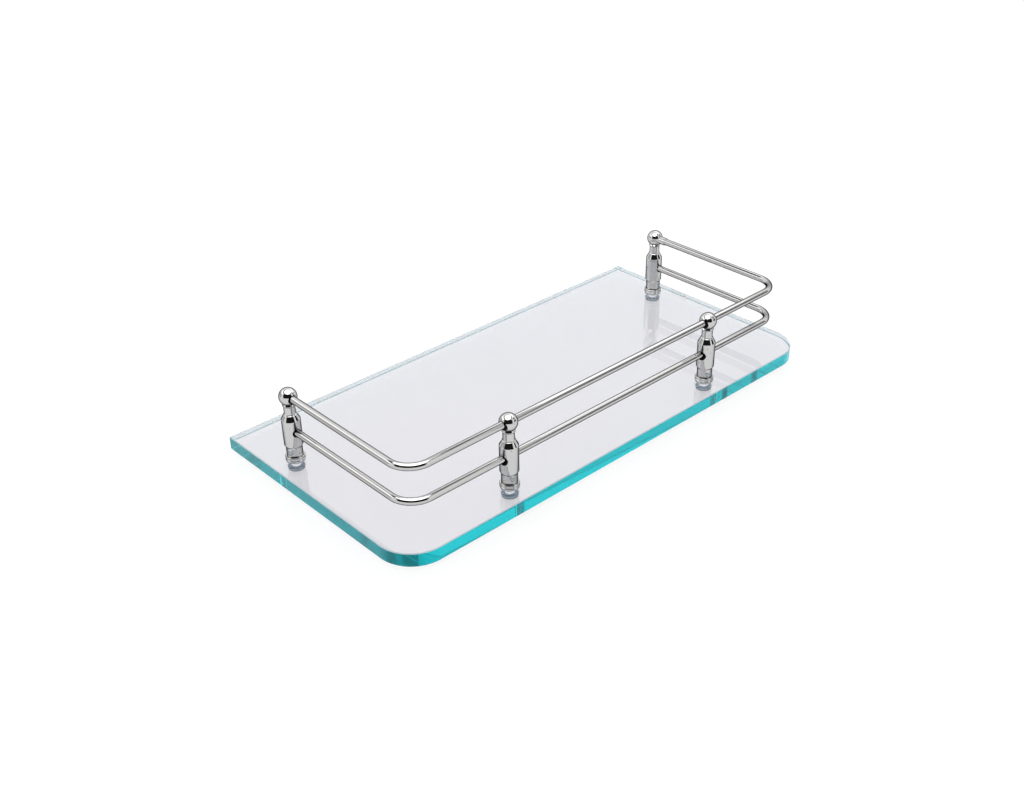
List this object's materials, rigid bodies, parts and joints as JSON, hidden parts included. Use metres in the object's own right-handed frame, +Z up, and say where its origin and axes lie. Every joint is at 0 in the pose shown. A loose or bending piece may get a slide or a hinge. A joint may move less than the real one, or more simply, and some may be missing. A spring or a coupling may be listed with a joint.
{
  "type": "glass shelf with gallery rails",
  "caption": "Clear glass wall shelf with rounded front corners and a chromed gallery of double round rails carried by turned ball-top posts.",
  "frame": {"origin": "middle of the glass panel's wall edge, half way through its thickness", "axes": "+X along the panel's length, +Y towards the wall, out of the wall edge, +Z up, so the rails stand on the +Z side and the front edge faces -Y"},
  "size_m": [0.3048, 0.1524, 0.0538],
  "materials": {
    "clear_glass": "clear float glass, polished edges that show teal",
    "rail_chrome": "bright chrome plate on drawn rod",
    "post_chrome": "bright chrome plate on turned metal, a few fine pits",
    "collar_chrome": "bright chrome plate on turned metal",
    "clear_plastic": "clear soft plastic",
    "screw_steel": "plated steel, lightly brushed"
  },
  "bodies": {
    "root": {"glass_panel": "clear_glass", "upper_rail": "rail_chrome", "lower_rail": "rail_chrome", "post_front_left": "post_chrome", "post_front_right": "post_chrome", "post_rear_left": "post_chrome", "post_rear_right": "post_chrome", "collar_front_left": "collar_chrome", "collar_front_right": "collar_chrome", "collar_rear_left": "collar_chrome", "collar_rear_right": "collar_chrome", "gasket_front_left": "clear_plastic", "gasket_front_right": "clear_plastic", "gasket_rear_left": "clear_plastic", "gasket_rear_right": "clear_plastic", "bush_front_left": "clear_plastic", "bush_front_right": "clear_plastic", "bush_rear_left": "clear_plastic", "bush_rear_right": "clear_plastic", "clamp_screws": "screw_steel"}
  },
  "joints": []
}
